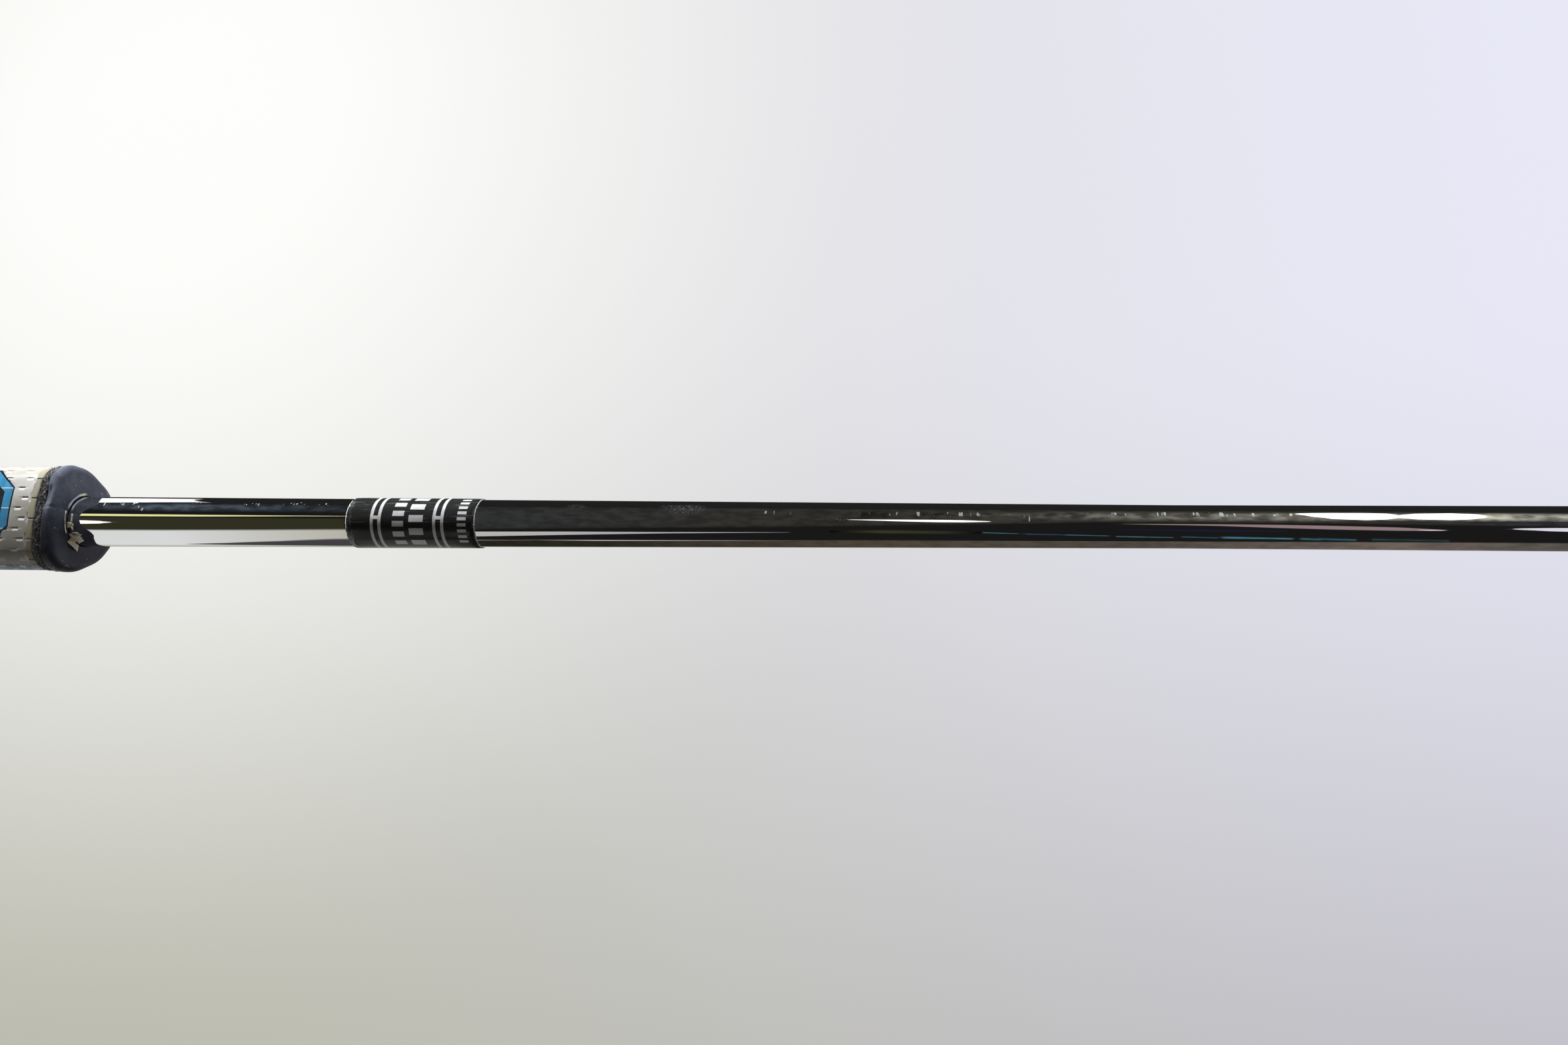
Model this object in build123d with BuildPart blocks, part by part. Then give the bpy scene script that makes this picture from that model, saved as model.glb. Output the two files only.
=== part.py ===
"""Golf putter grip on its chromed steel shaft, with a label band round the shaft.

Millimetres. The origin is the middle of the butt cap's outer face, on the shaft's axis.
+X runs along the shaft towards the tip and +Z is the way the grip's flat front faces.
"""
import os
from math import cos, pi, radians, sin

from build123d import *

os.makedirs("parts", exist_ok=True)

# ---- driving dimensions -------------------------------------------------------------------
inch = 25.4

# lengths along X
grip_length = 10.5 * inch        # butt cap face to the mouth at the lower end
butt_cap_thick = 4.0
mouth_cap_length = 3.9           # rubber collar that closes the lower end
backing_show = 2.6               # felt backing left bare between skin and collar
shaft_length = 33.0 * inch       # butt cap face to the shaft's tip

# shaft
shaft_butt_d = 0.580 * inch
shaft_mid_d = 11.45
shaft_tip_d = 0.370 * inch
shaft_wall = 0.5
taper_start = 277.0              # the butt section is parallel as far as here
taper_end = 579.0
tip_taper_start = 735.0
tip_taper_end = 775.0

# grip section, seen along X: Y across, Z towards the flat front
half_width = 15.2
front_corner_z = 10.4
front_crown_z = 12.6
waist_z = 0.5                    # where the sides start to close in
slant_y, slant_z = 10.6, -8.4
back_half_width = 5.2
back_z = -12.3
front_corner_radius = 4.8
side_radius = 12.0
back_radius = 6.0

# layers of the grip, from the outside in
skin_thick = 1.0
backing_thick = 0.5
tape_thick = 0.25
tape_gap = 0.05                  # play between the tape and the bore of the foam
tape_short = 1.5                 # the tape stops this far inside the mouth
collar_proud = 0.55              # the collar stands out past the skin
collar_bore_gap = 0.35           # gap between the tape and the collar's bore
seam_width = 1.6

# colour panel let into the front, a little to the +Y side of the middle
panel_end = 252.2
panel_length = 96.0
panel_middle_y = 2.0
panel_half_width = 11.2
panel_cut_long = 6.5             # cut corners, along the grip
panel_cut_wide = 5.4             # and across it
panel_depth = 0.3
panel_border_width = 0.45
panel_frame_width = 2.5
panel_line_width = 0.5
panel_line_pitch = 2.6

# label band round the shaft
band_start = 353.5
band_length = 37.6
band_base_thick = 0.1
band_face_thick = 0.2
band_base_show = 0.3             # pale base film showing at each end
print_depth = 0.08
ring_width = 0.9
ring_starts = (7.15, 9.43, 25.62, 27.97)
ring_bar_width = 1.0
ring_bar_angle = 2.0             # turn from +Z towards +Y

# ---- sizes that follow --------------------------------------------------------------------
mouth_x = grip_length
collar_x = mouth_x - mouth_cap_length
skin_end_x = collar_x - backing_show
shaft_start_x = butt_cap_thick
tape_radius = shaft_butt_d / 2 + tape_thick
core_bore = tape_radius + tape_gap
collar_bore = tape_radius + collar_bore_gap
band_end = band_start + band_length


def shaft_radius(x):
    """Outer radius of the shaft at x."""
    if x <= taper_start:
        return shaft_butt_d / 2
    if x < taper_end:
        share = (x - taper_start) / (taper_end - taper_start)
        return (shaft_butt_d + share * (shaft_mid_d - shaft_butt_d)) / 2
    if x <= tip_taper_start:
        return shaft_mid_d / 2
    if x < tip_taper_end:
        share = (x - tip_taper_start) / (tip_taper_end - tip_taper_start)
        return (shaft_mid_d + share * (shaft_tip_d - shaft_mid_d)) / 2
    return shaft_tip_d / 2


def grip_section(grow):
    """The grip's outline, moved outwards by grow, as a sketch with Y to the right and Z up."""
    with BuildSketch() as outline:
        with BuildLine():
            ThreePointArc((-half_width, front_corner_z), (0, front_crown_z), (half_width, front_corner_z))
            Polyline(
                (half_width, front_corner_z),
                (half_width, waist_z),
                (slant_y, slant_z),
                (back_half_width, back_z),
                (-back_half_width, back_z),
                (-slant_y, slant_z),
                (-half_width, waist_z),
                (-half_width, front_corner_z),
            )
        make_face()
        corners = outline.vertices().group_by(Axis.Y)
        fillet(corners[3], front_corner_radius)
        fillet(corners[2] + corners[1], side_radius)
        fillet(corners[0], back_radius)
        if grow:
            offset(amount=grow)
    return outline.sketch


def ring_profile(start, end, low, high):
    """Closed profile in the XZ plane between two heights above the shaft, following its taper."""
    return [
        (start, shaft_radius(start) + low),
        (end, shaft_radius(end) + low),
        (end, shaft_radius(end) + high),
        (start, shaft_radius(start) + high),
    ]


# ---- shaft --------------------------------------------------------------------------------
shaft_stations = (shaft_start_x, taper_start, taper_end, tip_taper_start, tip_taper_end, shaft_length)
with BuildPart() as shaft:
    with BuildSketch(Plane.XZ):
        outer = [(x, shaft_radius(x)) for x in shaft_stations]
        inner = [(x, shaft_radius(x) - shaft_wall) for x in reversed(shaft_stations)]
        with BuildLine():
            Polyline(*outer, *inner, close=True)
        make_face()
    revolve(axis=Axis.X)
shaft.part.label = "shaft"
export_step(shaft.part, "parts/shaft.step")

# ---- double-sided tape that holds the grip ------------------------------------------------
with BuildPart() as grip_tape:
    with BuildSketch(Plane.YZ.offset(shaft_start_x)):
        Circle(tape_radius)
        Circle(shaft_butt_d / 2, mode=Mode.SUBTRACT)
    extrude(amount=mouth_x - tape_short - shaft_start_x)
grip_tape.part.label = "grip_tape"
export_step(grip_tape.part, "parts/grip_tape.step")

# ---- torn tape at the mouth: one strip on the collar's lip and flakes on the shaft --------
strip_thick = 0.2
strip_inner, strip_outer = collar_bore + 0.9, collar_bore + 1.6
strip_from, strip_to = -28.0, 8.0            # turn from +Z towards +Y, degrees
flake_turns = (-32.0, -46.0, -63.0)
flake_lengths = (1.4, 2.4, 1.7)
flake_widths = (1.3, 2.1, 1.5)
flake_thick = 0.22


def turn_point(radius, turn):
    """Y and Z of a point at a radius, turned from +Z towards +Y."""
    return (radius * sin(radians(turn)), radius * cos(radians(turn)))


with BuildPart() as tape_scraps:
    middle = (strip_from + strip_to) / 2
    with BuildSketch(Plane.YZ.offset(mouth_x)):
        with BuildLine():
            ThreePointArc(*[turn_point(strip_outer, t) for t in (strip_from, middle, strip_to)])
            Line(turn_point(strip_outer, strip_to), turn_point(strip_inner, strip_to))
            ThreePointArc(*[turn_point(strip_inner, t) for t in (strip_to, middle, strip_from)])
            Line(turn_point(strip_inner, strip_from), turn_point(strip_outer, strip_from))
        make_face()
    extrude(amount=strip_thick)
    for turn, length, width in zip(flake_turns, flake_lengths, flake_widths):
        half = width / shaft_butt_d * 360 / pi / 2
        inner_r, outer_r = shaft_butt_d / 2, shaft_butt_d / 2 + flake_thick
        with BuildSketch(Plane.YZ.offset(mouth_x)):
            with BuildLine():
                ThreePointArc(*[turn_point(outer_r, turn + t) for t in (-half, 0, half)])
                Line(turn_point(outer_r, turn + half), turn_point(inner_r, turn + half))
                ThreePointArc(*[turn_point(inner_r, turn + t) for t in (half, 0, -half)])
                Line(turn_point(inner_r, turn - half), turn_point(outer_r, turn - half))
            make_face()
        extrude(amount=length)
tape_scraps.part.label = "tape_scraps"
export_step(tape_scraps.part, "parts/tape_scraps.step")

# ---- foam core ----------------------------------------------------------------------------
with BuildPart() as foam_core:
    with BuildSketch(Plane.YZ.offset(butt_cap_thick)):
        add(grip_section(-skin_thick - backing_thick))
        Circle(core_bore, mode=Mode.SUBTRACT)
    extrude(amount=collar_x - butt_cap_thick)
foam_core.part.label = "foam_core"
export_step(foam_core.part, "parts/foam_core.step")

# ---- felt backing of the skin, bare for a short way at the lower end -----------------------
with BuildPart() as skin_backing:
    with BuildSketch(Plane.YZ.offset(butt_cap_thick)):
        add(grip_section(-skin_thick))
        add(grip_section(-skin_thick - backing_thick), mode=Mode.SUBTRACT)
    extrude(amount=collar_x - butt_cap_thick)
skin_backing.part.label = "skin_backing"
export_step(skin_backing.part, "parts/skin_backing.step")


# ---- colour panel: border, frame, dark field and fine lines, let into the skin's front ------
panel_centre = (panel_end - panel_length / 2, panel_middle_y)


def panel_outline(inset):
    """Long outline with four cut corners in the XY plane, moved inwards by inset."""
    half_length = panel_length / 2
    corner = (half_length, panel_half_width - panel_cut_wide)
    shoulder = (half_length - panel_cut_long, panel_half_width)
    quarter = [corner, shoulder]
    upper = quarter + [(-x, y) for x, y in reversed(quarter)]
    lower = [(-x, -y) for x, y in upper]
    with BuildSketch() as outline:
        with Locations(panel_centre):
            Polygon(*upper, *lower, align=None)
        if inset:
            offset(amount=-inset, kind=Kind.INTERSECTION)
    return outline.sketch


def panel_layer(cutter):
    """The outermost layer of the front under a flat cutter, as a part."""
    with BuildPart() as layer:
        with BuildSketch(Plane.YZ.offset(panel_end - panel_length)):
            add(grip_section(0))
            add(grip_section(-panel_depth), mode=Mode.SUBTRACT)
        extrude(amount=panel_length)
        with BuildSketch(Plane.XY):
            add(cutter)
        extrude(amount=2 * front_crown_z, mode=Mode.INTERSECT)
    return layer.part


def panel_line_bars():
    """Three fine lines along the panel, inside its field."""
    length = panel_length - 2 * (panel_cut_long + panel_border_width + panel_frame_width)
    with BuildSketch() as bars:
        with Locations(panel_centre):
            with GridLocations(0, panel_line_pitch, 1, 3):
                Rectangle(length, panel_line_width)
    return bars.sketch


with BuildPart() as panel_border:
    add(panel_layer(panel_outline(0)))
    add(panel_layer(panel_outline(panel_border_width)), mode=Mode.SUBTRACT)
panel_border.part.label = "panel_border"
export_step(panel_border.part, "parts/panel_border.step")

with BuildPart() as panel_frame:
    add(panel_layer(panel_outline(panel_border_width)))
    add(panel_layer(panel_outline(panel_border_width + panel_frame_width)), mode=Mode.SUBTRACT)
panel_frame.part.label = "panel_frame"
export_step(panel_frame.part, "parts/panel_frame.step")

with BuildPart() as panel_lines:
    add(panel_layer(panel_line_bars()))
panel_lines.part.label = "panel_lines"
export_step(panel_lines.part, "parts/panel_lines.step")

with BuildPart() as panel_field:
    add(panel_layer(panel_outline(panel_border_width + panel_frame_width)))
    add(panel_lines.part, mode=Mode.SUBTRACT)
panel_field.part.label = "panel_field"
export_step(panel_field.part, "parts/panel_field.step")

# ---- skin, wrapped round and closed at the back by the seam strip ---------------------------
with BuildPart() as grip_skin:
    with BuildSketch(Plane.YZ.offset(butt_cap_thick)):
        add(grip_section(0))
        add(grip_section(-skin_thick), mode=Mode.SUBTRACT)
        with Locations((0, back_z + skin_thick / 2)):
            Rectangle(seam_width, skin_thick, mode=Mode.SUBTRACT)
    extrude(amount=skin_end_x - butt_cap_thick)
    add(panel_layer(panel_outline(0)), mode=Mode.SUBTRACT)
grip_skin.part.label = "grip_skin"
export_step(grip_skin.part, "parts/grip_skin.step")

with BuildPart() as seam_strip:
    with BuildSketch(Plane.YZ.offset(butt_cap_thick)):
        with Locations((0, back_z + skin_thick / 2)):
            Rectangle(seam_width, skin_thick)
    extrude(amount=skin_end_x - butt_cap_thick)
seam_strip.part.label = "seam_strip"
export_step(seam_strip.part, "parts/seam_strip.step")

# ---- rubber collar round the mouth, rounded and a little proud of the skin ------------------
collar_front_round = 1.9
collar_back_round = 0.9
lip_round = 0.9
with BuildPart() as mouth_collar:
    with BuildSketch(Plane.YZ.offset(collar_x)):
        add(grip_section(collar_proud))
        Circle(collar_bore, mode=Mode.SUBTRACT)
    extrude(amount=mouth_cap_length)
    front_face = mouth_collar.faces().sort_by(Axis.X)[-1]
    back_face = mouth_collar.faces().sort_by(Axis.X)[0]
    fillet(front_face.outer_wire().edges(), collar_front_round)
    fillet(front_face.inner_wires().edges(), lip_round)
    fillet(back_face.outer_wire().edges(), collar_back_round)
mouth_collar.part.label = "mouth_collar"
export_step(mouth_collar.part, "parts/mouth_collar.step")

# ---- rubber cap over the butt, with its air hole --------------------------------------------
air_hole_d = 2.6
butt_round = 1.8
with BuildPart() as butt_cap:
    with BuildSketch(Plane.YZ):
        add(grip_section(0))
        Circle(air_hole_d / 2, mode=Mode.SUBTRACT)
    extrude(amount=butt_cap_thick)
    outer_face = butt_cap.faces().sort_by(Axis.X)[0]
    fillet(outer_face.outer_wire().edges(), butt_round)
butt_cap.part.label = "butt_cap"
export_step(butt_cap.part, "parts/butt_cap.step")


# ---- label band: pale base film, black face, silver rings and blocks printed into it ---------
def band_layer(start, end, low, high):
    """A tube round the shaft between two heights above its surface, as a part."""
    with BuildPart() as layer:
        with BuildSketch(Plane.XZ):
            with BuildLine():
                Polyline(*ring_profile(start, end, low, high), close=True)
            make_face()
        revolve(axis=Axis.X)
    return layer.part


def printed_patch(start, end, turn, width):
    """A patch of the band's printed layer, its middle turned from +Z towards +Y, as a part."""
    with BuildPart() as patch:
        add(band_layer(start, end, print_floor, band_top))
        with BuildSketch(Plane.XY.rotated((-turn, 0, 0))):
            with Locations(((start + end) / 2, 0)):
                Rectangle(end - start, width)
        extrude(amount=shaft_butt_d, mode=Mode.INTERSECT)
    return patch.part


band_top = band_base_thick + band_face_thick
print_floor = band_top - print_depth
with BuildPart() as band_base:
    add(band_layer(band_start - band_base_show, band_end + band_base_show, 0, band_base_thick))
band_base.part.label = "band_base"
export_step(band_base.part, "parts/band_base.step")

with BuildPart() as band_rings:
    for first in ring_starts:
        add(band_layer(band_start + first, band_start + first + ring_width, print_floor, band_top))
    for first, second in (ring_starts[:2], ring_starts[2:]):
        bar_ends = band_start + first + ring_width, band_start + second
        add(printed_patch(*bar_ends, ring_bar_angle, ring_bar_width))
band_rings.part.label = "band_rings"
export_step(band_rings.part, "parts/band_rings.step")

# columns of plain blocks: offset along the band, length, count round the shaft, pitch in degrees
block_columns = ((13.7, 3.4, 6, 24.0), (18.6, 4.2, 5, 30.0), (32.8, 2.6, 9, 14.0))
block_share = 0.55               # part of each pitch that is printed
with BuildPart() as band_blocks:
    for along, length, count, pitch in block_columns:
        start = band_start + along
        width = 2 * pi * shaft_radius(start) * pitch * block_share / 360
        for n in range(count):
            add(printed_patch(start, start + length, (n - (count - 1) / 2) * pitch, width))
band_blocks.part.label = "band_blocks"
export_step(band_blocks.part, "parts/band_blocks.step")

with BuildPart() as band_face:
    add(band_layer(band_start, band_end, band_base_thick, band_top))
    add(band_rings.part, mode=Mode.SUBTRACT)
    add(band_blocks.part, mode=Mode.SUBTRACT)
band_face.part.label = "band_face"
export_step(band_face.part, "parts/band_face.step")
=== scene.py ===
"""Looks of the putter grip, its chromed shaft and the label band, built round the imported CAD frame.

Metres throughout. +X runs along the shaft towards the tip, +Z is the way the flat front faces.
"""
import math

import bmesh
import bpy
import numpy as np
from mathutils import Matrix, Vector


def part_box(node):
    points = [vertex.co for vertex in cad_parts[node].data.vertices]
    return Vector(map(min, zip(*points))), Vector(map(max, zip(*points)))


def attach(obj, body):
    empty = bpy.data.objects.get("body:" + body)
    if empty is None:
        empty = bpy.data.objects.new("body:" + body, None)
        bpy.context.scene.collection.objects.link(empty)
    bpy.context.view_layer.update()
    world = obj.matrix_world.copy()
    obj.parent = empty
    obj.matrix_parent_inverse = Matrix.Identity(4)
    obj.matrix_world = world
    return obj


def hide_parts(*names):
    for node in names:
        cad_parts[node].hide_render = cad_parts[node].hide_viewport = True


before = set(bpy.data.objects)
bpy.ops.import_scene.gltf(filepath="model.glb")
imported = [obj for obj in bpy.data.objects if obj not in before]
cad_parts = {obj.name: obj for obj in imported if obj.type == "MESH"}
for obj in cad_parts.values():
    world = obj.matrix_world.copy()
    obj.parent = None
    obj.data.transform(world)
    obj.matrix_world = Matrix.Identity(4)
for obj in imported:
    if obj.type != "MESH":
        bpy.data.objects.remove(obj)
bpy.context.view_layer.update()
mm = 0.001

# ---- places and sizes read from the frame ----
skin_lo, skin_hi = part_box("grip_skin")
collar_lo, collar_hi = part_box("mouth_collar")
shaft_lo, shaft_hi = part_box("shaft")
face_lo, face_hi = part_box("band_face")
base_lo, base_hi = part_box("band_base")

skin_end = skin_hi.x
collar_start = collar_lo.x
mouth = collar_hi.x
butt_radius = shaft_hi.z
tape_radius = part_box("grip_tape")[1].z

# ---- the grip's section and the shaft's taper, as in the design ----
half_width = 15.2 * mm
front_corner_z = 10.4 * mm
crown = 2.2 * mm
waist_z = 0.5 * mm
slant_y, slant_z = 10.6 * mm, -8.4 * mm
back_half_width = 5.2 * mm
back_z = -12.3 * mm
front_corner_radius = 4.8 * mm
side_radius = 12.0 * mm
back_radius = 6.0 * mm
skin_thick = 1.0 * mm
collar_bore_gap = 0.35 * mm
taper_start, taper_end = 277.0 * mm, 579.0 * mm
tip_taper_start, tip_taper_end = 735.0 * mm, 775.0 * mm
mid_radius = 11.45 / 2 * mm
tip_radius = 0.370 * 25.4 / 2 * mm
shaft_wall = 0.5 * mm
panel_cut_long, panel_cut_wide = 6.5 * mm, 5.4 * mm


def shaft_radius(x):
    """Outer radius of the shaft at x."""
    stations = (taper_start, taper_end, tip_taper_start, tip_taper_end)
    return np.interp(x, stations, (butt_radius, mid_radius, mid_radius, tip_radius))


def grip_outline():
    """The grip's outline as a dense closed curve: rows of y, z, outward y, outward z, and its length."""
    half = [
        (back_half_width, back_z, back_radius),
        (slant_y, slant_z, side_radius),
        (half_width, waist_z, side_radius),
        (half_width, front_corner_z, front_corner_radius),
    ]
    corners = half + [(-y, z, r) for y, z, r in reversed(half)]
    points = [np.array((0.0, back_z))]
    for k, (y, z, r) in enumerate(corners):
        here = np.array((y, z))
        before = np.array(corners[k - 1][:2]) if k else points[0]
        after = np.array(corners[k + 1][:2]) if k + 1 < len(corners) else points[0]
        come = (here - before) / np.linalg.norm(here - before)
        go = (after - here) / np.linalg.norm(after - here)
        turn = math.acos(np.clip(come @ go, -1, 1))
        start = here - come * r * math.tan(turn / 2)
        centre = start + np.array((-come[1], come[0])) * r
        for t in np.linspace(0, turn, 40):
            c, s = math.cos(t), math.sin(t)
            arm = start - centre
            points.append(centre + np.array((c * arm[0] - s * arm[1], s * arm[0] + c * arm[1])))
    points.append(points[0])
    rough = np.array(points)
    length = np.r_[0, np.cumsum(np.linalg.norm(np.diff(rough, axis=0), axis=1))]
    fine = np.linspace(0, length[-1], 4001)
    curve = np.c_[np.interp(fine, length, rough[:, 0]), np.interp(fine, length, rough[:, 1])]
    lift = np.clip((curve[:, 1] - front_corner_z + front_corner_radius) / front_corner_radius, 0, 1)
    curve[:, 1] += crown * lift**2 * (1 - (curve[:, 0] / half_width) ** 2)
    along = np.gradient(curve, axis=0)
    along[0] = along[-1] = (1, 0)
    along /= np.linalg.norm(along, axis=1)[:, None]
    length = np.r_[0, np.cumsum(np.linalg.norm(np.diff(curve, axis=0), axis=1))]
    return np.c_[curve, along[:, 1], -along[:, 0]], length


outline, outline_length = grip_outline()
perimeter = outline_length[-1]


def on_outline(u):
    """Points and outward normals of the outline at distances u round it from the back's middle."""
    u = np.mod(u, perimeter)
    columns = [np.interp(u, outline_length, outline[:, k]) for k in range(4)]
    point, normal = np.stack(columns[:2], -1), np.stack(columns[2:], -1)
    return point, normal / np.linalg.norm(normal, axis=-1, keepdims=True)


def outline_ring(count):
    """Distances round the outline, its points and normals there, and unit directions to those points."""
    u = np.arange(count) / count * perimeter
    point, normal = on_outline(u)
    return u, point, normal, point / np.linalg.norm(point, axis=1)[:, None]


# ---- mesh helpers ----
def add_mesh(name, verts, faces, material):
    """A smooth-shaded mesh object with one material."""
    mesh = bpy.data.meshes.new(name)
    mesh.from_pydata([tuple(v) for v in verts], [], faces)
    tidy = bmesh.new()
    tidy.from_mesh(mesh)
    bmesh.ops.recalc_face_normals(tidy, faces=tidy.faces)
    tidy.to_mesh(mesh)
    tidy.free()
    mesh.polygons.foreach_set("use_smooth", [True] * len(mesh.polygons))
    mesh.materials.append(material)
    piece = bpy.data.objects.new(name, mesh)
    bpy.context.scene.collection.objects.link(piece)
    return piece


def grid_faces(rows, columns, loop_rows, loop_columns, first=0):
    """Quads of a grid of points stored row by row."""
    faces = []
    for i in range(rows if loop_rows else rows - 1):
        for j in range(columns if loop_columns else columns - 1):
            a, b = i * columns, (i + 1) % rows * columns
            k = (j + 1) % columns
            faces.append((first + a + j, first + b + j, first + b + k, first + a + k))
    return faces


def add_grid(name, points, material, loop_rows=True, loop_columns=True):
    """A mesh from a grid of points shaped rows x columns x 3."""
    rows, columns = points.shape[:2]
    return add_mesh(name, points.reshape(-1, 3), grid_faces(rows, columns, loop_rows, loop_columns), material)


def stand_for(piece, node):
    """Puts a piece on the one body and hides the CAD node that it stands for."""
    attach(piece, "root")
    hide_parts(node)


def smooth_noise(u, v, seed, octaves=3):
    """Gentle repeatable noise of two coordinates, about -1 to 1, from a few summed waves."""
    pick = np.random.default_rng(seed)
    total = 0
    for octave in range(octaves):
        for _ in range(4):
            fu, fv = pick.normal(size=2) * 2**octave
            total = total + np.sin(fu * u + fv * v + pick.uniform(0, 2 * math.pi)) / 2**octave
    return total / 4


# ---- material helpers ----
class Shader:
    """A material being built: short calls that add nodes and join them."""

    def __init__(self, name):
        self.material = bpy.data.materials.new(name)
        self.material.use_nodes = True
        self.tree = self.material.node_tree
        self.bsdf = self.tree.nodes["Principled BSDF"]
        self.coords = self.tree.nodes.new("ShaderNodeTexCoord").outputs["Object"]

    def join(self, source, socket):
        self.tree.links.new(source, socket)

    def set(self, name, value):
        socket = self.bsdf.inputs[name]
        if isinstance(value, bpy.types.NodeSocket):
            self.join(value, socket)
        else:
            socket.default_value = (*value, 1) if isinstance(value, tuple) else value

    def stretched(self, x=1.0, y=1.0, z=1.0):
        node = self.tree.nodes.new("ShaderNodeMapping")
        self.join(self.coords, node.inputs["Vector"])
        node.inputs["Scale"].default_value = (x, y, z)
        return node.outputs["Vector"]

    def noise(self, scale, detail=3.0, rough=0.5, vector=None):
        node = self.tree.nodes.new("ShaderNodeTexNoise")
        self.join(vector or self.coords, node.inputs["Vector"])
        node.inputs["Scale"].default_value = scale
        node.inputs["Detail"].default_value = detail
        node.inputs["Roughness"].default_value = rough
        return node.outputs["Fac"]

    def cells(self, scale):
        node = self.tree.nodes.new("ShaderNodeTexVoronoi")
        self.join(self.coords, node.inputs["Vector"])
        node.inputs["Scale"].default_value = scale
        return node.outputs["Distance"]

    def axis(self, index):
        node = self.tree.nodes.new("ShaderNodeSeparateXYZ")
        self.join(self.coords, node.inputs["Vector"])
        return node.outputs[index]

    def step(self, value, low, high, to_low=0.0, to_high=1.0):
        node = self.tree.nodes.new("ShaderNodeMapRange")
        node.interpolation_type = "SMOOTHSTEP"
        self.join(value, node.inputs["Value"])
        for name, number in zip(("From Min", "From Max", "To Min", "To Max"), (low, high, to_low, to_high)):
            node.inputs[name].default_value = number
        return node.outputs["Result"]

    def math(self, kind, a, b=0.0):
        node = self.tree.nodes.new("ShaderNodeMath")
        node.operation = kind
        for socket, value in zip(node.inputs, (a, b)):
            if isinstance(value, bpy.types.NodeSocket):
                self.join(value, socket)
            else:
                socket.default_value = value
        return node.outputs["Value"]

    def times(self, a, b):
        return self.math("MULTIPLY", a, b)

    def band(self, value, start, full, fade, end):
        """1 where value is between full and fade, 0 outside start and end."""
        return self.times(self.step(value, start, full), self.step(value, fade, end, 1.0, 0.0))

    def hypotenuse(self, a, b):
        return self.math("SQRT", self.math("ADD", self.times(a, a), self.times(b, b)))

    def turn(self):
        """Degrees round the shaft from +Z towards +Y."""
        return self.times(self.math("ARCTAN2", self.axis("Y"), self.axis("Z")), 180 / math.pi)

    def mix(self, share, a, b):
        node = self.tree.nodes.new("ShaderNodeMix")
        node.data_type = "RGBA"
        self.join(share, node.inputs["Factor"])
        for socket, value in ((node.inputs["A"], a), (node.inputs["B"], b)):
            if isinstance(value, bpy.types.NodeSocket):
                self.join(value, socket)
            else:
                socket.default_value = (*value, 1)
        return node.outputs["Result"]

    def bump(self, height, distance, strength=1.0, under=None):
        node = self.tree.nodes.new("ShaderNodeBump")
        self.join(height, node.inputs["Height"])
        node.inputs["Distance"].default_value = distance
        node.inputs["Strength"].default_value = strength
        if under:
            self.join(under, node.inputs["Normal"])
        return node.outputs["Normal"]


worn_places = (
    # x and half length in millimetres, turn from +Z towards +Y and half turn in degrees, pattern, strength
    (279, 7, 34, 8, "tick", 0.8),
    (284, 5, 30, 8, "slant", 0.9),
    (290, 4, 24, 10, "slant", 1.0),
    (289, 6, 38, 6, "slant", 0.8),
    (306, 3, 42, 6, "speck", 0.8),
    (324, 4, 36, 5, "speck", 0.7),
    (336, 5, 40, 8, "speck", 0.6),
    (347, 4, 38, 7, "speck", 0.6),
    (416, 7, 5, 6, "dust", 0.5),
    (420, 4, 38, 10, "dust", 0.5),
    (447, 5, 38, 10, "dust", 0.5),
    (451, 8, 31, 22, "dust", 0.75),
    (475, 6, 19, 11, "tick", 0.6),
    (491, 6, 4, 4, "dust", 0.7),
    (518, 24, 20, 9, "tick", 0.55),
    (546, 4, 27, 5, "slant", 1.0),
    (543, 3, 10, 12, "tick", 0.8),
    (585, 34, 24, 9, "tick", 0.8),
)


def chrome():
    """Polished chrome plate: hairlines, a dull smear at the mouth, and worn places with specks and scuffs."""
    s = Shader("shaft_chrome")
    patterns = {
        "speck": s.step(s.cells(1000), 0.20, 0.34, 1.0, 0.0),
        "dust": s.step(s.cells(4000), 0.22, 0.42, 0.5, 0.0),
        "tick": s.step(s.noise(1100, 1.0, vector=s.stretched(1.0, 0.2, 0.2)), 0.61, 0.67),
        "slant": s.step(s.noise(700, 1.0, vector=s.stretched(1.0, 0.35, 0.9)), 0.60, 0.66),
    }
    turn = s.turn()
    marks = 0.0
    for x, half_x, middle, half_turn, pattern, strength in worn_places:
        dx = s.math("DIVIDE", s.math("SUBTRACT", s.axis("X"), x * mm), half_x * mm)
        dt = s.math("DIVIDE", s.math("SUBTRACT", turn, middle), half_turn)
        fade = s.step(s.hypotenuse(dx, dt), 0.35, 1.0, strength, 0.0)
        near = s.times(fade, patterns[pattern])
        marks = s.math("MAXIMUM", marks, near)
    hair = s.noise(1400, 2.0, vector=s.stretched(0.05, 1, 1))
    s.set("Base Color", s.mix(marks, (0.88, 0.87, 0.86), (0.34, 0.35, 0.35)))
    s.set("Metallic", s.step(marks, 0, 1, 1.0, 0.2))
    smear = s.times(s.step(s.axis("X"), mouth + 1.5 * mm, mouth + 3.5 * mm, 0.14, 0.0),
                    s.band(turn, 22, 34, 90, 100))
    rough = s.math("ADD", s.step(hair, 0.45, 0.8, 0.025, 0.06), smear)
    s.set("Roughness", s.math("ADD", s.times(marks, 0.3), rough))
    s.set("Normal", s.bump(hair, 0.003 * mm, 0.3))
    return s.material


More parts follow.
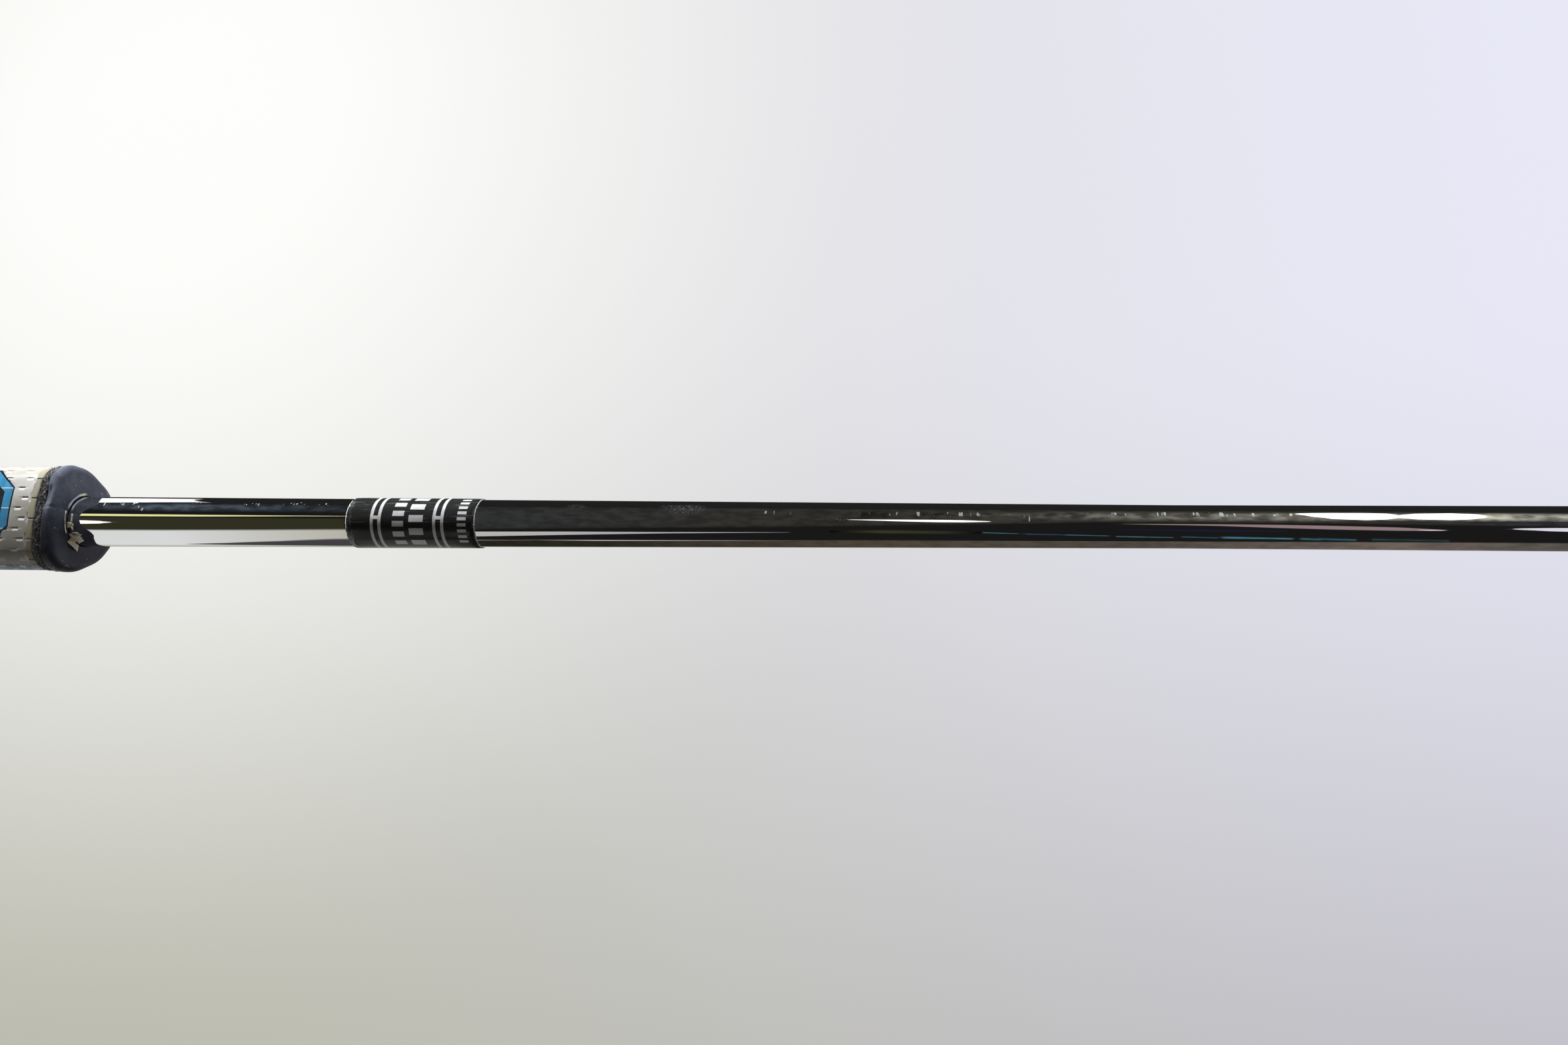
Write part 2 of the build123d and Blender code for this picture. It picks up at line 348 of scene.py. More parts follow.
def skin():
    """Embossed polyurethane: warm grey, soiled near the end, printed blue-grey down both sides, with a
    painted highlight along its upper side and painted shade and highlights on the walls of its dashes.
    """
    s = Shader("skin_grey")
    blotch = s.step(s.noise(90, 4.0, 0.6), 0.35, 0.7)
    colour = s.mix(blotch, (0.40, 0.375, 0.335), (0.47, 0.445, 0.405))
    worn = s.step(s.noise(420, 4.0, 0.65), 0.55, 0.7)
    colour = s.mix(s.times(worn, 0.5), colour, (0.56, 0.535, 0.50))
    # Painted highlight along the upper side, where the light falls, mottled by the blotches
    corner = s.band(s.axis("Y"), 2.0 * mm, 8.5 * mm, 10.5 * mm, 13.0 * mm)
    painted_highlight = s.times(corner, s.step(blotch, 0, 1, 0.75, 1.0))
    colour = s.mix(painted_highlight, colour, (0.76, 0.74, 0.705))
    edge = s.math("ADD", s.axis("X"), s.times(s.noise(260, 2.0), 1.0 * mm))
    soiled = s.step(edge, skin_end - 1.9 * mm, skin_end - 1.3 * mm)
    tint = s.mix(s.step(s.noise(230, 2.0), 0.42, 0.62), (0.37, 0.345, 0.235), (0.33, 0.27, 0.225))
    colour = s.mix(s.times(soiled, 0.85), colour, tint)
    far_side = s.times(s.step(s.axis("Y"), 13.5 * mm, 14.4 * mm),
                       s.step(s.axis("Z"), 5.0 * mm, 6.0 * mm, 1.0, 0.0))
    side = s.math("MAXIMUM", s.step(s.axis("Y"), -14.6 * mm, -13.9 * mm, 1.0, 0.0), far_side)
    print_tint = s.mix(s.step(s.noise(600, 2.0), 0.5, 0.62), (0.27, 0.31, 0.37), (0.10, 0.13, 0.24))
    colour = s.mix(s.times(side, 0.85), colour, print_tint)
    # Painted shade on the steep walls of the dashes and painted highlight on their slopes, from the layer
    # made in build_skin
    layer = s.tree.nodes.new("ShaderNodeAttribute")
    layer.attribute_name = "painted_light"
    colour = s.mix(s.step(layer.outputs["Fac"], 0.5, 0.0, 0.0, 0.42), colour, (0.07, 0.065, 0.055))
    s.set("Base Color", s.mix(s.step(layer.outputs["Fac"], 0.5, 1.0, 0.0, 0.9), colour, (0.86, 0.85, 0.82)))
    s.set("Roughness", s.step(blotch, 0, 1, 0.52, 0.64))
    grain = s.bump(s.cells(2600), 0.03 * mm, 0.35)
    s.set("Normal", s.bump(s.noise(900, 3.0), 0.05 * mm, 0.3, under=grain))
    return s.material


def seam():
    """The strip that closes the skin at the back: darker, ribbed across by its welding tool."""
    s = Shader("seam_grey")
    ribs = s.noise(700, 1.0, vector=s.stretched(1.6, 0.1, 0.1))
    s.set("Base Color", s.mix(ribs, (0.24, 0.225, 0.20), (0.36, 0.34, 0.31)))
    s.set("Roughness", 0.6)
    s.set("Normal", s.bump(ribs, 0.08 * mm, 0.6))
    return s.material


def felt():
    """Dark speckled felt backing."""
    s = Shader("backing_felt")
    speck = s.step(s.noise(1900, 3.0, 0.7), 0.47, 0.57)
    s.set("Base Color", s.mix(speck, (0.040, 0.041, 0.045), (0.25, 0.247, 0.24)))
    s.set("Roughness", 0.95)
    s.set("Normal", s.bump(s.noise(1800, 3.0), 0.2 * mm, 0.5))
    return s.material


def fibre(name, dark, light):
    """Loose felt fibres of one shade."""
    s = Shader(name)
    s.set("Base Color", s.mix(s.noise(3000, 1.0), dark, light))
    s.set("Roughness", 0.9)
    return s.material


def rubber(name, dark, light):
    """Moulded rubber, dusty where it is handled, with fine scuffs and pits."""
    s = Shader(name)
    dust = s.step(s.noise(160, 5.0, 0.65), 0.42, 0.72)
    colour = s.mix(dust, dark, light)
    scuff = s.step(s.noise(1500, 3.0, 0.6, vector=s.stretched(1.0, 0.35, 0.35)), 0.66, 0.74)
    colour = s.mix(s.times(scuff, 0.55), colour, (0.26, 0.27, 0.31))
    pits = s.step(s.cells(1300), 0.08, 0.3)
    s.set("Base Color", colour)
    s.set("Roughness", s.step(dust, 0, 1, 0.5, 0.66))
    fine = s.bump(s.noise(2600, 3.0), 0.03 * mm, 0.4)
    s.set("Normal", s.bump(pits, 0.06 * mm, 0.35, under=fine))
    return s.material


def paper(name, dark, light):
    """Crepe paper tape, aged and stained."""
    s = Shader(name)
    stain = s.step(s.noise(900, 4.0, 0.6), 0.4, 0.7)
    s.set("Base Color", s.mix(stain, light, dark))
    s.set("Roughness", 0.85)
    s.set("Normal", s.bump(s.noise(2200, 3.0), 0.08 * mm, 0.6))
    return s.material


def paint(name, dark, light, rough):
    """Paint fill or printed film, slightly mottled and rubbed."""
    s = Shader(name)
    rub = s.step(s.noise(380, 4.0, 0.6), 0.45, 0.75)
    s.set("Base Color", s.mix(rub, dark, light))
    s.set("Roughness", s.step(rub, 0, 1, rough, rough + 0.18))
    s.set("Normal", s.bump(s.noise(1600, 2.0), 0.02 * mm, 0.3))
    return s.material


def panel_blue():
    """Blue paint on the embossed skin: pale lines run along it as painted highlights where the ridges of the
    rows catch the light.
    """
    s = Shader("panel_blue")
    rub = s.step(s.noise(380, 4.0, 0.6), 0.45, 0.75)
    blue = s.mix(rub, (0.050, 0.27, 0.50), (0.10, 0.40, 0.64))
    row = s.math("FRACT", s.math("DIVIDE", s.math("SUBTRACT", s.axis("Y"), 1.1 * mm), 2 * row_pitch))
    # Pale lines on the row ridges: painted highlights
    ridge = s.band(row, 0.0, 0.05, 0.07, 0.12)
    s.set("Base Color", s.mix(s.times(ridge, 0.8), blue, (0.50, 0.74, 0.86)))
    s.set("Roughness", s.step(rub, 0, 1, 0.4, 0.55))
    s.set("Normal", s.bump(ridge, 0.1 * mm, 0.5))
    return s.material


def silver(name, dark, light):
    """Silver ink, slightly metallic and faintly rubbed."""
    s = Shader(name)
    rub = s.step(s.noise(420, 4.0, 0.6), 0.45, 0.75)
    s.set("Base Color", s.mix(rub, dark, light))
    s.set("Metallic", s.step(rub, 0, 1, 0.25, 0.15))
    s.set("Roughness", s.step(rub, 0, 1, 0.42, 0.55))
    return s.material


def film():
    """Glossy black label film with hairlines along the shaft and worn specks."""
    s = Shader("band_black")
    hair = s.step(s.noise(1700, 2.0, vector=s.stretched(0.06, 1, 1)), 0.62, 0.66)
    speck = s.step(s.noise(2100, 3.0), 0.7, 0.74)
    worn = s.math("MAXIMUM", s.times(hair, 0.2), s.times(speck, 0.3))
    s.set("Base Color", s.mix(worn, (0.019, 0.019, 0.019), (0.24, 0.24, 0.24)))
    s.set("Roughness", s.math("ADD", s.times(worn, 0.3), 0.27))
    s.set("Coat Weight", 0.12)
    s.set("Coat Roughness", 0.1)
    s.set("Normal", s.bump(s.noise(700, 2.0, vector=s.stretched(0.3, 1, 1)), 0.02 * mm, 0.25))
    return s.material


# ---- grip skin: embossed with staggered dashes, open underneath the colour panel ----
row_count = 30
row_pitch = perimeter / row_count
dash_pitch = 6.7 * mm
dash_near, dash_length = 2.85 * mm, 2.1 * mm       # first dash of the odd rows, back from the end
dash_shift = 1.75 * mm                             # the even rows lie this much further back
dash_slope = 0.15 * mm
dash_top, dash_floor_top = 0.50 * mm, 0.36 * mm        # the steep wall, on the side that u comes from
dash_floor_low, dash_low, dash_foot = 0.20 * mm, -0.46 * mm, -0.62 * mm
dash_depth, dash_ridge = 0.18 * mm, 0.05 * mm
dash_margin = 0.06 * mm                                # untouched skin starts this far outside a dash
cross_near, cross_far = 1.80 * mm, 2.45 * mm           # broken groove round the grip near its end
cross_depth = 0.26 * mm
nick_half, nick_depth = 0.1 * mm, 0.16 * mm
rounded_drop, rounded_reach = 0.16 * mm, 0.12 * mm     # the skin's end edge falls away by this, over this
skin_inset = 0.02 * mm                                 # keeps the skin just inside its CAD outline
pocket_depth = 0.42 * mm


def ramp_up(value, low, high):
    """0 below low, 1 above high, straight between."""
    return np.clip((value - low) / (high - low), 0, 1)


def dash_profile(across):
    """Depth across one dash: a steep wall, a floor, then a slope that ends in a slight ridge."""
    places = (dash_foot, dash_low, dash_floor_low, dash_floor_top, dash_top)
    return np.interp(across, places, (0, -dash_ridge, dash_depth, dash_depth, 0))


def emboss(back, u):
    """How far the skin is pressed in at a distance back from its end and u round it, and the painted light
    there.

    The painted light is 1 where a painted highlight lies on the slopes that face the light and -1 where
    painted shade lies on the steep walls and in the nicks.
    """
    row = np.floor(u / row_pitch)
    across = (row + 0.5) * row_pitch - u
    odd = np.mod(row, 2) == 1
    start = np.where(odd, dash_near, dash_near + dash_shift)
    step_back = np.mod(back - start + dash_slope, dash_pitch) - dash_slope + start
    along = ramp_up(step_back, start, start + dash_slope)
    along = along * ramp_up(-step_back, -start - dash_length, -start - dash_length + dash_slope)
    along = np.where(back < start - dash_slope, 0, along)
    depth = along * dash_profile(across)
    # Painted shade on the steep wall of each dash, painted highlight on its floor, slope and ridge
    dark = along * ((across > dash_floor_top - 0.01 * mm) & (across < dash_top + 0.01 * mm))
    light = along * ((across > dash_foot - 0.01 * mm) & (across < dash_floor_top - 0.04 * mm))
    middle = (cross_near + cross_far) / 2
    reach = ramp_up(-np.abs(back - middle), cross_near - middle, cross_near - middle + 0.2 * mm)
    span = ramp_up(-np.abs(across), -row_pitch * 0.49, -row_pitch * 0.42) * odd
    depth = np.maximum(depth, cross_depth * reach * span)
    # Painted highlight across the broken groove, painted shade in the nicks
    light = np.maximum(light, span * ((back > cross_near - 0.1 * mm) & (back < cross_far + 0.01 * mm)))
    nick = nick_depth * (back < cross_near) * ramp_up(-np.abs(across), -2 * nick_half, -nick_half) * odd
    dark = np.maximum(dark, (nick > 0) * 1.0)
    return np.maximum(depth, nick) + np.minimum(depth, 0), light - dark


def panel_pocket(x, y, z):
    """True under the colour panel, a little inside its border."""
    lo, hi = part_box("panel_border")
    middle = (lo + hi) / 2
    along = np.abs(x - middle.x) - (hi.x - middle.x) + 0.2 * mm
    across = np.abs(y - middle.y) - (hi.y - middle.y) + 0.2 * mm
    corner = along / panel_cut_long + across / panel_cut_wide + 1
    return (along < 0) & (across < 0) & (corner < 0) & (z > 0)


def build_skin():
    length = skin_end - skin_lo.x
    near = np.array((0, 0.08, 0.25, 0.6, 1.1, 1.7)) * mm
    cross = np.array((cross_near, cross_near + 0.2 * mm, cross_far - 0.2 * mm, cross_far))
    ends = np.array((0, dash_slope, dash_length - dash_slope, dash_length))
    period = dash_near + np.r_[ends, ends + dash_shift, 5.2 * mm]
    repeats = int(math.ceil(length / dash_pitch))
    dashes = (period[None, :] + dash_pitch * np.arange(repeats)[:, None]).ravel()
    back = np.unique(np.round(np.r_[near, cross, dashes[dashes < length - 0.5 * mm], length], 7))
    places = np.sort((row_pitch / 2, dash_top + dash_margin, dash_top, dash_floor_top,
                      dash_floor_top - 0.05 * mm, dash_floor_low, nick_half, -nick_half, -2 * nick_half,
                      dash_low, dash_foot, dash_foot - dash_margin))[::-1]
    u = ((np.arange(row_count)[:, None] + 0.5) * row_pitch - places[None, :]).ravel()
    b, w = np.meshgrid(back[::-1], u, indexing="ij")
    point, normal = on_outline(w)
    x = skin_end - b
    sunk, painted_light = emboss(b, w)
    pocket = panel_pocket(x, point[..., 0], point[..., 1])
    sunk = np.where(pocket, pocket_depth, sunk)
    sunk = sunk + rounded_drop * np.exp(-b / rounded_reach)
    sunk = sunk + 0.03 * mm * smooth_noise(x / (9 * mm), w / (7 * mm), 3) + skin_inset
    ragged = 0.14 * mm * smooth_noise(w / (1.1 * mm), 0 * w, 5) * np.exp(-b / (0.8 * mm))
    outer = np.concatenate(((x + ragged)[..., None], point - normal * sunk[..., None]), -1)
    inner_back = np.array((0.0, length / 2, length))
    b2, w2 = np.meshgrid(inner_back, u, indexing="ij")
    p2, n2 = on_outline(w2)
    inner = np.concatenate(((skin_end - b2)[..., None], p2 - n2 * (skin_thick - skin_inset)), -1)
    # Painted shade and highlight of the dashes, full on the front and weaker towards the back
    painted_light_strength = 0.35 + 0.65 * ramp_up(point[..., 1], -2 * mm, 6 * mm)
    painted_light = 0.5 + 0.5 * painted_light * painted_light_strength
    piece = add_grid("embossed_skin", np.concatenate((outer, inner)), skin())
    layer = piece.data.attributes.new("painted_light", "FLOAT", "POINT")
    layer.data.foreach_set("value", np.r_[painted_light.ravel(), np.full(inner.shape[0] * inner.shape[1], 0.5)])
    stand_for(piece, "grip_skin")


# ---- collar: rounded rubber end with a dent, a crease and a lip, scuffed and with a painted highlight ----
bore_radius = tape_radius + collar_bore_gap
mouth_radius = butt_radius + 0.12 * mm              # narrowest place, just inside the mouth
lip_radius = 7.95 * mm                               # where the bevel of the mouth meets the end face
bevel = 0.2 * mm
front_round = 2.0 * mm
back_round = 0.9 * mm
collar_proud = 0.5 * mm


def worn_rubber_with_painted_light():
    """The collar's rubber, lighter on its upper half and darker on its lower as painted light and shade, with
    a whitish line on one part of the rim of its mouth that is partly scuffs and adhesive and partly a painted
    highlight.
    """
    s = Shader("collar_rubber")
    dust = s.step(s.noise(160, 5.0, 0.65), 0.40, 0.70)
    # Painted light and shade: the upper half lighter, the lower half darker
    upper = s.step(s.axis("Y"), -5.0 * mm, 5.0 * mm)
    plain = s.mix(upper, (0.024, 0.026, 0.036), (0.092, 0.100, 0.132))
    dusty = s.mix(upper, (0.046, 0.050, 0.067), (0.160, 0.175, 0.225))
    colour = s.mix(dust, plain, dusty)
    around = s.step(s.axis("X"), mouth - 1.6 * mm, mouth - 0.5 * mm, 1.0, 0.0)
    streak = s.noise(420, 3.0, 0.6, vector=s.stretched(1.0, 0.3, 0.3))
    smear = s.times(s.step(streak, 0.52, 0.66), around)
    colour = s.mix(s.times(smear, 0.5), colour, (0.22, 0.23, 0.29))
    colour = s.mix(s.times(s.math("SUBTRACT", 1.0, around), 0.15), colour, (0.022, 0.024, 0.036))
    fleck = s.step(s.noise(1100, 1.0), 0.73, 0.76)
    colour = s.mix(s.times(fleck, 0.5), colour, (0.55, 0.55, 0.58))
    # A whitish line on part of the mouth's rim: partly scuffs and adhesive, partly a painted highlight where
    # light catches the lip
    radius = s.hypotenuse(s.axis("Y"), s.axis("Z"))
    off = s.math("ABSOLUTE", s.math("SUBTRACT", radius, lip_radius + 0.15 * mm))
    off = s.math("ADD", off, s.times(s.noise(700, 3.0), 0.5 * mm))
    rim = s.step(off, 0.46 * mm, 0.66 * mm, 1.0, 0.0)
    turn = s.turn()
    part = s.band(turn, 14, 26, 70, 84)
    outer = s.times(part, s.step(s.axis("X"), mouth - 0.1 * mm, mouth - 0.03 * mm))
    scuff_and_highlight = s.times(rim, outer)
    white = s.mix(s.step(turn, 58, 66), (0.66, 0.66, 0.74), (0.95, 0.92, 0.74))
    colour = s.mix(scuff_and_highlight, colour, white)
    s.set("Base Color", colour)
    s.set("Roughness", s.step(dust, 0, 1, 0.45, 0.6))
    s.set("Specular IOR Level", 0.28)
    fine = s.bump(s.noise(2600, 3.0), 0.03 * mm, 0.4)
    s.set("Normal", s.bump(s.step(s.cells(1300), 0.08, 0.3), 0.05 * mm, 0.3, under=fine))
    return s.material


def build_collar():
    count = 260
    u, point, normal, ring = outline_ring(count)
    rows = []

    def round_row(x, radius):
        rows.append((np.full(count, x), ring * radius))

    def face_row(x, share, grow):
        edge = point + normal * grow
        rows.append((np.full(count, x), ring * lip_radius * (1 - share) + edge * share))

    back = collar_start + 0.02 * mm
    round_row(back, bore_radius)
    round_row(mouth - bevel - 0.35 * mm, bore_radius)
    round_row(mouth - bevel, mouth_radius)
    for t in np.radians(np.linspace(10, 90, 8)):
        spread = (lip_radius - mouth_radius) * (1 - math.cos(t))
        round_row(mouth - bevel + bevel * math.sin(t), mouth_radius + spread)
    inset = collar_proud - front_round
    for share in (0.12, 0.3, 0.5, 0.7, 0.86, 0.95):
        face_row(mouth - 0.05 * mm * math.sin(share * math.pi), share, inset)
    for t in np.radians(np.linspace(0, 90, 10)):
        face_row(mouth - front_round * (1 - math.cos(t)), 1, inset + front_round * math.sin(t))
    for x in np.linspace(mouth - front_round - 0.2 * mm, collar_start + back_round + 0.1 * mm, 5):
        face_row(x, 1, collar_proud)
    for t in np.radians(np.linspace(0, 90, 7)):
        drop = back_round * (1 - math.cos(t))
        face_row(back + back_round * (1 - math.sin(t)), 1, collar_proud - drop)
    face_row(back, 1, -1.2 * mm)
    x = np.stack([r[0] for r in rows])
    yz = np.stack([r[1] for r in rows])
    grid = np.concatenate((x[..., None], yz), -1)
    radial = np.hypot(grid[..., 1], grid[..., 2])
    side = ramp_up(radial, 11 * mm, 13 * mm)
    out = yz / radial[..., None]
    front = yz[..., 1] > 0
    dent = 0.8 * mm * np.exp(-(((x - collar_start - 0.9 * mm) / (1.25 * mm)) ** 4)
                             - ((yz[..., 0] - 5.2 * mm) / (2.9 * mm)) ** 4) * front
    crease = 0.35 * mm * np.exp(-(((yz[..., 0] - 2.0 * mm) / (0.25 * mm)) ** 2)) * front
    swell = 0.09 * mm * smooth_noise(np.broadcast_to(u / (6 * mm), x.shape), x / (2 * mm), 11, 2)
    push = side * (swell - dent - 0.7 * crease)
    grid[..., 1:] += out * push[..., None]
    grid[..., 0] -= (1 - side) * ramp_up(radial, 8.6 * mm, 9.5 * mm) * 0.25 * crease
    piece = add_grid("moulded_collar", grid, worn_rubber_with_painted_light())
    stand_for(piece, "mouth_collar")


# ---- butt cap: rounded rubber with its air hole ----
def build_cap():
    count, air_hole, butt_round = 260, 1.3 * mm, 1.8 * mm
    cap_lo, cap_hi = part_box("butt_cap")
    _, point, normal, ring = outline_ring(count)
    hole = ring * air_hole
    face, back = cap_lo.x, cap_hi.x - 0.02 * mm
    rows = [(back, 0, 0), (face + 0.3 * mm, 0, 0)]
    rows += [(face + 0.02 * mm, share, -butt_round) for share in (0.03, 0.3, 0.6, 0.85)]
    for t in np.radians(np.linspace(0, 90, 10)):
        rows.append((face + butt_round * (1 - math.cos(t)), 1, butt_round * (math.sin(t) - 1)))
    rows += [(back - 0.3 * mm, 1, 0), (back, 1, -0.15 * mm)]
    grid = [np.c_[np.full(count, x), hole * (1 - share) + (point + normal * grow) * share]
            for x, share, grow in rows]
    look = rubber("butt_rubber", (0.017, 0.018, 0.026), (0.05, 0.052, 0.065))
    stand_for(add_grid("rounded_cap", np.stack(grid), look), "butt_cap")


# ---- felt: the lumpy bare edge of the backing and the fibres frayed out of it ----
def build_felt():
    count = 420
    u, point, normal, _ = outline_ring(count)
    lo, hi = skin_end - 1.5 * mm, collar_start
    rows = []
    # past the skin's end, and height over the outline, in millimetres
    bare = ((0.22, -0.45), (0.36, -0.15), (0.6, 0.0), (0.9, 0.08), (1.2, 0.1),
            (1.5, 0.1), (1.8, 0.1), (2.1, 0.08), (2.3, 0.0), (2.45, -0.15))
    stations = [(skin_lo.x, -1.5), (skin_lo.x, -1.02), (lo, -1.02), (skin_end - 0.05 * mm, -1.02)]
    stations += [(skin_end + x * mm, grow) for x, grow in bare]
    stations += [(hi - 0.05 * mm, -0.6), (hi - 0.05 * mm, -1.5)]
    for x, grow in stations:
        lump = 0.2 * mm * smooth_noise(u / (0.45 * mm), 0 * u + x / (0.45 * mm), 17, 2)
        lump = np.clip(lump, -0.35 * mm, 0.22 * mm) * (skin_end < x < hi - 0.1 * mm)
        rows.append(np.c_[np.full(count, x), point + normal * (grow * mm + lump)[:, None]])
    piece = add_grid("felt_edge", np.stack(rows), felt())
    stand_for(piece, "skin_backing")


def build_fibres(name, amount, material, seed):
    """Short bent fibres standing out of the bare felt, as thin three-sided tubes in one mesh."""
    pick = np.random.default_rng(seed)
    verts, faces = [], []
    for _ in range(amount):
        u = pick.uniform(0, perimeter)
        point, normal = on_outline(np.array(u))
        root = np.array((skin_end + pick.uniform(0.25, 2.4) * mm, *(point - normal * 0.2 * mm)))
        out = np.array((0, *normal))
        side = np.array((0, -normal[1], normal[0]))
        lie = np.array((pick.normal() * 0.8, 0, 0)) + side * pick.normal() * 1.0
        reach, thick = pick.uniform(0.35, 0.9) * mm, pick.uniform(0.035, 0.07) * mm
        rise = pick.uniform(0.3, 0.62) * mm
        first = len(verts)
        for k in range(4):
            t = k / 3
            centre = root + lie * reach * t * 0.6 + out * rise * math.sin(t * 2.4)
            width = thick * (1 - 0.7 * t)
            for corner in range(3):
                turn = corner * 2 * math.pi / 3
                verts.append(centre + width * (math.cos(turn) * out + math.sin(turn) * np.array((1, 0, 0))))
        faces += grid_faces(4, 3, False, True, first)
        faces += [tuple(first + k for k in (0, 1, 2)), tuple(first + k for k in (9, 10, 11))]
    piece = add_mesh(name, verts, faces, material)
    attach(piece, "root")


# ---- shaft: drawn tube, finely divided so that its reflections are clean ----
def build_shaft():
    segments = 192
    start, end = shaft_lo.x, shaft_hi.x
    chamfer = 0.15 * mm
    outer_x = [start + chamfer, *np.arange(start + 10 * mm, end - 10 * mm, 8 * mm), end - chamfer]
    outer_x = sorted(set(outer_x) | {taper_start, taper_end, tip_taper_start, tip_taper_end})
    profile = [(x, float(shaft_radius(x))) for x in outer_x]
    profile += [(end, float(shaft_radius(end)) - chamfer)]
    profile += [(x, float(shaft_radius(x)) - shaft_wall) for x in (end, tip_taper_end, tip_taper_start,
                                                                   taper_end, taper_start, start)]
    profile += [(start, float(shaft_radius(start)) - chamfer)]
    turn = np.arange(segments) / segments * 2 * math.pi
    grid = np.array([[(x, r * math.cos(t), r * math.sin(t)) for t in turn] for x, r in profile])
    piece = add_grid("polished_shaft", grid, chrome())
    sharp = piece.modifiers.new("edge_split", "EDGE_SPLIT")
    sharp.split_angle = math.radians(35)
    stand_for(piece, "shaft")


# ---- torn tape at the mouth ----
def ragged_sheet(points, thick, seed):
    """A torn sheet through a grid of points, given its thickness and slightly rough edges."""
    pick = np.random.default_rng(seed)
    points = points + pick.normal(size=points.shape) * 0.02 * mm
    along_u = np.gradient(points, axis=1)
    along_v = np.gradient(points, axis=0)
    out = np.cross(along_u, along_v)
    out /= np.linalg.norm(out, axis=-1, keepdims=True)
    return points, points + out * thick


def hanging_flake(turns, root, reach, lift, taper, seed):
    """A torn flap that starts at the rim of the mouth and stands out along the shaft.

    turns are its first and last place round the rim in degrees from +Z towards +Y, root how far from the
    shaft it starts, reach how far it stands out of the mouth and lift how far its free edge leans away.
    """
    pick = np.random.default_rng(seed)
    rows, columns = 6, 9
    grid = np.zeros((rows, columns, 3))
    for j in range(columns):
        share = j / (columns - 1)
        turn = math.radians(turns[0] + (turns[1] - turns[0]) * share)
        out = reach * (0.35 + 0.65 * math.sin(math.pi * share**taper) + 0.09 * pick.normal())
        for i in range(rows):
            t = i / (rows - 1)
            radius = butt_radius + root + lift * t**1.3
            grid[i, j] = (mouth + 0.06 * mm + max(out, 0.2 * mm) * t,
                          radius * math.sin(turn), radius * math.cos(turn))
    return ragged_sheet(grid, 0.2 * mm, seed)


def build_scraps():
    flakes = [
        hanging_flake((-38, -58), 0.2 * mm, 2.4 * mm, 0.9 * mm, 0.9, 21),
        hanging_flake((-48, -77), 0.2 * mm, 0.8 * mm, 2.1 * mm, 0.9, 22),
        hanging_flake((-12, -24), 0.2 * mm, 1.4 * mm, 0.2 * mm, 1.0, 23),
        hanging_flake((10, -34), 1.0 * mm, 0.2 * mm, 0.5 * mm, 1.0, 24),
    ]
    verts, faces = [], []
    for under, over in flakes:
        rows, columns = under.shape[:2]
        loop = np.concatenate((under, over[:, ::-1]), axis=1)
        first = len(verts)
        verts += list(loop.reshape(-1, 3))
        faces += grid_faces(rows, 2 * columns, False, True, first)
        ends = [first + k for k in range(2 * columns)]
        faces += [tuple(ends), tuple(k + (rows - 1) * 2 * columns for k in ends)]
    piece = add_mesh("torn_tape", verts, faces, paper("tape_torn", (0.76, 0.64, 0.48), (0.97, 0.91, 0.74)))
    stand_for(piece, "tape_scraps")


# ---- label band: film with chipped ends over its pale base ----
def chipped_tube(name, start, end, low, high, ragged, seed, material):
    """A thin tube on the shaft between two heights, its ends chipped by about ragged, more on the +Y half."""
    count = 360
    turn = np.arange(count) / count * 2 * math.pi

    def edge(which):
        wave = smooth_noise(6 * np.cos(turn) + which, 6 * np.sin(turn), seed + which, 4)
        chips = smooth_noise(26 * np.cos(turn), 26 * np.sin(turn), seed + 9 + which, 3)
        chips = np.clip(chips, 0.25, 1) - 0.25
        upper = 0.5 + 0.5 * np.sin(turn)
        return ragged * (0.25 * wave + (1.1 + 1.1 * upper) * chips)

    first, last = start + edge(1), end - edge(2)
    outside = [(share, high - 0.03 * mm * (share in (0, 1))) for share in np.linspace(0, 1, 24)]
    rows = []
    for share, height in outside + [(share, low) for share in (1, 0.5, 0)]:
        x = first + (last - first) * share
        radius = shaft_radius(x) + height
        rows.append(np.c_[x, radius * np.sin(turn), radius * np.cos(turn)])
    return add_grid(name, np.stack(rows), material)


def build_band():
    base_thick, face_thick = 0.1 * mm, 0.2 * mm
    white = paint("band_white", (0.70, 0.69, 0.66), (0.86, 0.85, 0.82), 0.5)
    base = chipped_tube("band_film", base_lo.x, base_hi.x, 0, base_thick, 0.25 * mm, 31, white)
    stand_for(base, "band_base")
    face = chipped_tube("band_cover", face_lo.x, face_hi.x, base_thick, base_thick + face_thick - 0.012 * mm,
                        0.3 * mm, 47, film())
    stand_for(face, "band_face")


# ---- camera, light and floor ----
tilt = math.radians(10.8)                 # the flat front leans this far up from the camera
yaw = math.radians(8.0)                   # the tip is the nearer end
roll = 0.0047                             # radians
stand_off = 307.3 * mm                    # along the lens axis, lens to shaft
foot_x = 477.2 * mm                       # place on the shaft that the lens axis meets
aim_above = 0.7 * mm
lens_per_width = 0.718232                 # focal length over picture width
sensor = 36.0                             # millimetres

to_camera = Vector((0, -math.sin(tilt), math.cos(tilt)))
image_up = Vector((0, math.cos(tilt), math.sin(tilt)))
along = Vector((1, 0, 0))


